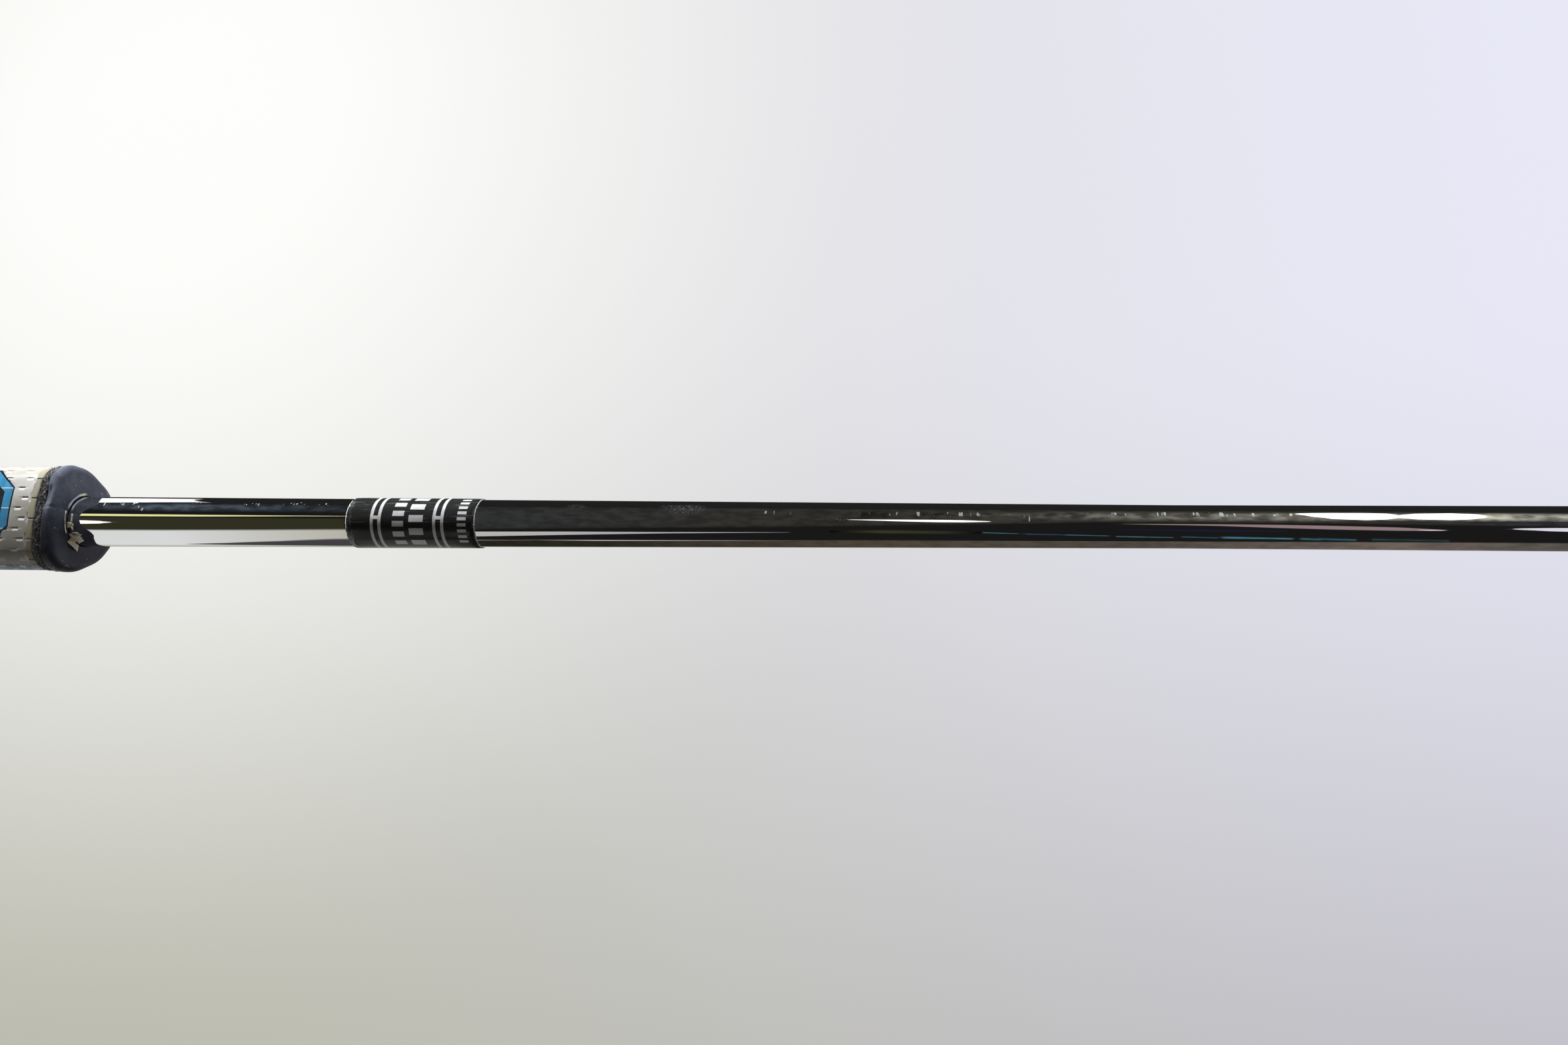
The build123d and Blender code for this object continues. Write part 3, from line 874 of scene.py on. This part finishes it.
def add_camera():
    data = bpy.data.cameras.new("camera")
    data.sensor_width = sensor
    data.lens = sensor * lens_per_width
    data.clip_start, data.clip_end = 0.01, 20
    camera = bpy.data.objects.new("camera", data)
    bpy.context.scene.collection.objects.link(camera)
    back = math.sin(yaw) * along + math.cos(yaw) * to_camera
    right = math.cos(yaw) * along - math.sin(yaw) * to_camera
    level = Matrix((right, image_up, back)).transposed()
    turned = level @ Matrix.Rotation(roll, 3, "Z")
    place = along * foot_x + back * stand_off + image_up * aim_above
    camera.matrix_world = Matrix.Translation(place) @ turned.to_4x4()
    bpy.context.scene.camera = camera
    return place


camera_place = add_camera()


def add_light(name, place, aim, width, height, radiance, colour):
    """A rectangular lamp facing aim, long side along X, that isn't itself mirrored."""
    data = bpy.data.lights.new(name, "AREA")
    data.shape = "RECTANGLE"
    data.size, data.size_y = width, height
    data.energy = radiance * math.pi * width * height
    data.color = colour
    lamp = bpy.data.objects.new(name, data)
    bpy.context.scene.collection.objects.link(lamp)
    back = (place - aim).normalized()
    across = (along - back * along.dot(back)).normalized()
    turned = Matrix((across, back.cross(across), back)).transposed().to_4x4()
    lamp.matrix_world = Matrix.Translation(place) @ turned
    lamp.visible_camera = lamp.visible_glossy = False


def add_card(name, distance, colour, stations, soft=0.0, streaky=0.0):
    """A glowing card, bent round the shaft's line, that only shows where it is mirrored.

    Stations are x on the shaft in millimetres, as the camera sees the mirrored card there, and the
    angles of its two edges round the shaft, in degrees from the camera's side towards the picture's top.
    A station may carry its own colour. Soft is the share of the width over which each edge fades, and
    streaky how much its brightness varies along it.
    """
    stretch = distance / camera_place.dot(to_camera)
    across = 13
    verts, glow = [], []
    for x, low, high, *own in stations:
        x = x * mm + (x * mm - camera_place.x) * stretch
        for k in range(across):
            share = k / (across - 1)
            turn = math.radians(low + (high - low) * share)
            verts.append(along * x + (math.cos(turn) * to_camera + math.sin(turn) * image_up) * distance)
            fade = min(share, 1 - share) / soft if soft else 1
            glow.append((*(own[0] if own else colour), min(fade, 1)))
    s = Shader(name)
    paint_node = s.tree.nodes.new("ShaderNodeAttribute")
    paint_node.attribute_name = "glow"
    kinds = ("Emission", "BsdfTransparent", "MixShader")
    lit, clear, both = (s.tree.nodes.new("ShaderNode" + kind) for kind in kinds)
    s.join(paint_node.outputs["Color"], lit.inputs["Color"])
    if streaky:
        streaks = s.noise(130, 3.0, vector=s.stretched(1.0, 0.05, 0.05))
        streaks = s.step(streaks, 0.32, 0.68, 1 - streaky, 1 + streaky)
        s.join(streaks, lit.inputs["Strength"])
    s.join(paint_node.outputs["Alpha"], both.inputs["Fac"])
    s.join(clear.outputs[0], both.inputs[1])
    s.join(lit.outputs[0], both.inputs[2])
    s.join(both.outputs[0], s.tree.nodes["Material Output"].inputs["Surface"])
    card = add_mesh(name, verts, grid_faces(len(stations), across, False, False), s.material)
    layer = card.data.attributes.new("glow", "FLOAT_COLOR", "POINT")
    layer.data.foreach_set("color", [v for c in glow for v in c])
    card.visible_camera = card.visible_diffuse = card.visible_shadow = False


def grey(level):
    return (level, level, level)


def add_cards():
    """What the polished shaft mirrors in the room: bright tubes and boards, dark gaps, a brown table."""
    dark, brown = 0.25, 0.24                    # distances that keep these two in front of the floor
    add_card("dark_top", dark, grey(0.016), [
        (230, 141, 166), (309, 139, 166), (317, 97, 164), (760, 96, 164)])
    add_card("tube_upper", 0.35, grey(1.5), [
        (240, 100, 140), (279, 100, 140), (291, 103, 137), (304, 108, 130), (312, 117, 119)])
    add_card("blue_haze", 0.36, (0.040, 0.053, 0.068), [
        (268, 55, 100, (0.020, 0.022, 0.026)), (282, 50, 100, (0.045, 0.056, 0.070)),
        (300, 48, 100, (0.075, 0.098, 0.125)), (316, 48, 100, (0.055, 0.068, 0.088)),
        (330, 48, 100), (356, 45, 98, (0.026, 0.030, 0.036))], soft=0.35, streaky=0.5)
    add_card("yellow_tube", 0.33, (0.88, 0.86, 0.42), [
        (240, 26, 37), (270, 26, 37), (288, 25, 36), (309, 25.5, 34.5), (325, 27.5, 33.5),
        (342, 30, 33), (356, 31, 32.6)], soft=0.1)
    add_card("short_tube", 0.33, grey(1.2), [
        (240, -10, 6), (271, -10, 6), (279, -8, 3), (283, -3.5, -1.5)])
    add_card("olive_gap", 0.37, (0.032, 0.032, 0.018), [(255, -34, 20), (355, -34, 20)])
    add_card("pale_board", 0.34, (0.70, 0.71, 0.72), [
        (240, -140, -35, (0.73, 0.745, 0.75)), (300, -140, -34, (0.76, 0.78, 0.79)),
        (330, -140, -31, (0.62, 0.62, 0.59)), (356, -140, -27, (0.52, 0.51, 0.44))], soft=0.06)
    add_card("board_rim", 0.24, grey(0.30), [(240, -170, -150), (356, -170, -150)])
    add_card("board_gap", 0.23, (0.06, 0.058, 0.066), [
        (303, -124, -122), (316, -133, -111), (334, -140, -93), (350, -146, -77),
        (356, -147, -75)], soft=0.12)
    add_card("board_edge", 0.34, grey(0.5), [
        (386, -67, -39, grey(0.52)), (393, -64, -39, grey(0.52)), (418, -54, -37, grey(0.48)),
        (446, -44, -37, grey(0.42)), (464, -40, -36, grey(0.36)), (481, -36.6, -35.6, grey(0.3))])
    add_card("board_foot", 0.23, grey(0.3), [(386, -88, -84), (409, -86.3, -85.7)])
    add_card("upper_gloom", 0.40, (0.021, 0.021, 0.019), [
        (386, -32, 96, (0.030, 0.034, 0.034)), (430, -22, 96, (0.031, 0.032, 0.030)),
        (480, -12, 96, (0.033, 0.031, 0.028)), (540, 10, 96, (0.034, 0.033, 0.027)),
        (562, 20, 96, (0.034, 0.034, 0.028)), (610, 20, 96, (0.040, 0.039, 0.032)),
        (660, 10, 96, (0.03, 0.03, 0.034)), (760, 0, 96, (0.025, 0.027, 0.032))],
        soft=0.1, streaky=0.25)
    add_card("brown_table", brown, (0.07, 0.06, 0.045), [
        (386, -152, -71, (0.020, 0.019, 0.013)), (427, -152, -85, (0.024, 0.022, 0.014)),
        (464, -152, -81, (0.050, 0.043, 0.032)), (500, -152, -76, (0.074, 0.062, 0.044)),
        (568, -152, -79, (0.080, 0.070, 0.057)), (601, -152, -76, (0.11, 0.095, 0.080)),
        (633, -152, -73, (0.155, 0.125, 0.105)), (663, -152, -72, (0.110, 0.095, 0.086)),
        (760, -152, -72, (0.10, 0.09, 0.08))], soft=0.05, streaky=0.15)
    add_card("tube_middle", 0.33, (1.6, 1.55, 1.48), [
        (497, 28, 29), (503, 25.5, 29.5), (510, 22, 30), (520, 18.5, 30), (527, 18.5, 29), (534, 22, 24)])
    add_card("room_left", 0.36, grey(0.1), [
        (500, 30, 82, (0.018, 0.018, 0.014)), (540, 28, 84, (0.050, 0.050, 0.042)),
        (565, 28, 84, (0.12, 0.118, 0.102)), (590, 28, 84, (0.17, 0.168, 0.145)),
        (606, 30, 84, (0.23, 0.226, 0.19)), (633, 34, 84, (0.30, 0.295, 0.25)),
        (654, 34, 86, (0.46, 0.45, 0.37)), (672, 34, 84, (0.38, 0.38, 0.34)),
        (760, 36, 76, grey(0.16))], soft=0.4, streaky=0.6)
    add_card("lamp_one", 0.33, grey(2.2), [
        (608.5, 73, 76), (612, 60, 80), (617, 46, 81), (625, 41, 81), (630, 45, 78), (632.6, 55, 68)])
    add_card("lamp_two", 0.33, grey(2.2), [
        (632.7, 55, 68), (636.5, 46, 78), (645, 43, 81), (650, 48, 77), (653, 60, 66)])
    add_card("pink_sheet", 0.35, (0.30, 0.215, 0.23), [
        (568, 13.5, 15, (0.2, 0.18, 0.18)), (575, 11, 16, (0.25, 0.2, 0.2)), (590, 6, 16), (604, -3, 15),
        (618, -10, 11), (632, -14, 5), (643, -13, -7)], soft=0.15)
    add_card("pink_end", 0.33, (0.66, 0.64, 0.74), [(637, -10, -8), (640, -12, -7), (643.5, -10, -8.5)])
    add_card("far_tube", 0.33, (0.80, 0.78, 0.90), [
        (659, -3, 0), (661, -5, 2), (667, -11, 4), (675, -15, 5), (760, -20, 8)])
    add_card("indigo_glow", 0.35, (0.012, 0.013, 0.045), [
        (566, -14, -12), (585, -24, -12), (606, -22, -16)], soft=0.3)
    panes = ((532, 541, -40, -32), (543, 554, -46, -38), (553, 564, -50, -42), (566, 579.4, -59, -49),
             (581, 589.5, -60, -49), (590.6, 607.7, -65, -49), (609.5, 614.5, -70, -53),
             (613.5, 622.8, -71, -53), (626.5, 644.5, -72, -54))
    tints, last_tint = ((0.05, 0.16, 0.21), (0.03, 0.10, 0.15), (0.06, 0.21, 0.27)), (0.020, 0.055, 0.062)
    for k, (x0, x1, low, high) in enumerate(panes):
        tint = tints[k % 3] if k < len(panes) - 1 else last_tint
        add_card("window_%d" % (k + 1), 0.33, tint, [(x0, low + 3, high + 2), (x1, low, high - 4)],
                 soft=0.45, streaky=0.25)
    add_card("olive_patch", 0.35, (0.050, 0.050, 0.020), [
        (492, -38, -24, grey(0.0)), (506, -42, -20), (522, -44, -22, (0.03, 0.034, 0.02)),
        (532, -42, -26, grey(0.0))], soft=0.4)
    add_card("side_sheen", 0.34, (0.50, 0.54, 0.66), [(90, 5, 95), (238, 5, 95)], soft=0.2)


floor_z = -0.32
backdrop_grey = (0.62, 0.62, 0.62)
unlit = (0.012, 0.012, 0.012)              # floor and backdrop glow by themselves and reflect almost nothing
room_glow = 0.97


def add_backdrop():
    """A plain pale wall all round, far off, that neither lights the object nor shows in its shaft."""
    radius, top, count = 3.6, 6.0, 48
    turn = np.arange(count) / count * 2 * math.pi
    rows = [np.c_[radius * np.cos(turn), radius * np.sin(turn), np.full(count, z)] for z in (floor_z, top)]
    rows.append(np.c_[0.01 * np.cos(turn), 0.01 * np.sin(turn), np.full(count, top)])
    s = Shader("backdrop_pale")
    cloud = s.step(s.noise(0.3, 2.0), 0.3, 0.7)
    s.set("Base Color", unlit)
    s.set("Emission Color", s.mix(cloud, backdrop_grey, (0.66, 0.66, 0.665)))
    s.set("Emission Strength", room_glow)
    wall = add_grid("backdrop", np.stack(rows), s.material, loop_rows=False)
    wall.visible_diffuse = wall.visible_glossy = wall.visible_shadow = False


def add_floor():
    """The plain pale floor, glowing by itself with painted light: warm on the left, cooler on the right,
    lighter towards +Y, with a painted pool of light at the upper left.
    """
    size = 4.0
    verts = [(-size, -size, floor_z), (size, -size, floor_z), (size, size, floor_z), (-size, size, floor_z)]
    s = Shader("floor_pale")
    x, y = s.axis("X"), s.axis("Y")
    height = s.step(y, -0.36, 0.20)
    cool = s.step(x, 0.05, 0.95)
    low = s.mix(cool, (0.485, 0.485, 0.405), (0.49, 0.48, 0.52))
    high = s.mix(cool, (0.72, 0.72, 0.69), (0.82, 0.82, 0.945))
    shade = s.mix(height, low, high)
    left, up = s.math("SUBTRACT", x, 0.02), s.math("SUBTRACT", y, 0.32)
    shade = s.mix(s.step(s.hypotenuse(left, up), 0.05, 0.56, 0.92, 0.0), shade, (1.02, 1.02, 1.0))
    away = s.hypotenuse(s.math("SUBTRACT", x, 0.5), y)
    shade = s.mix(s.step(away, 0.75, 1.8), shade, backdrop_grey)
    s.set("Base Color", unlit)
    s.set("Emission Color", shade)
    s.set("Emission Strength", room_glow)
    s.set("Specular IOR Level", 0.0)
    s.set("Roughness", 0.9)
    floor = add_mesh("floor", verts, [(0, 1, 2, 3)], s.material)


def add_studio():
    add_floor()
    add_backdrop()
    world = bpy.data.worlds.new("studio")
    world.use_nodes = True
    world.node_tree.nodes["Background"].inputs["Color"].default_value = (0.011, 0.0105, 0.0105, 1)
    bpy.context.scene.world = world
    bpy.context.scene.view_settings.view_transform = "Standard"
    middle = Vector((260 * mm, 0, 10 * mm))
    add_light("key", Vector((-0.15, 1.12, 0.25)), middle, 0.9, 0.26, 50, (0.97, 0.99, 1.0))
    add_light("right_side", Vector((0.75, 0.80, 0.16)), middle, 0.4, 0.3, 11.5, (0.93, 0.96, 1.0))
    add_light("fill", Vector((0.35, -0.45, 1.1)), middle, 1.2, 0.7, 0.43, (1.0, 0.97, 0.88))


build_skin()
build_collar()
build_cap()
build_felt()
build_fibres("dark_fibres", 1500, fibre("fibre_dark", (0.01, 0.01, 0.012), (0.05, 0.05, 0.055)), 61)
build_fibres("pale_fibres", 900, fibre("fibre_pale", (0.26, 0.255, 0.245), (0.66, 0.65, 0.62)), 62)
build_shaft()
build_scraps()
build_band()

cad_looks = {
    "grip_tape": paper("tape_paper", (0.50, 0.42, 0.28), (0.70, 0.62, 0.45)),
    "foam_core": rubber("core_foam", (0.020, 0.022, 0.035), (0.045, 0.048, 0.065)),
    "seam_strip": seam(),
    "panel_border": paint("panel_navy", (0.010, 0.012, 0.022), (0.022, 0.026, 0.040), 0.4),
    "panel_frame": panel_blue(),
    "panel_field": paint("panel_black", (0.012, 0.012, 0.016), (0.035, 0.035, 0.042), 0.4),
    "panel_lines": paint("panel_pale_blue", (0.10, 0.20, 0.34), (0.22, 0.38, 0.56), 0.4),
    "band_rings": silver("band_silver", (0.68, 0.68, 0.68), (0.80, 0.80, 0.80)),
    "band_blocks": silver("block_silver", (0.66, 0.66, 0.67), (0.78, 0.78, 0.79)),
}
for node, look in cad_looks.items():
    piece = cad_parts[node]
    for slot in piece.material_slots:
        slot.material = look

add_studio()
add_cards()
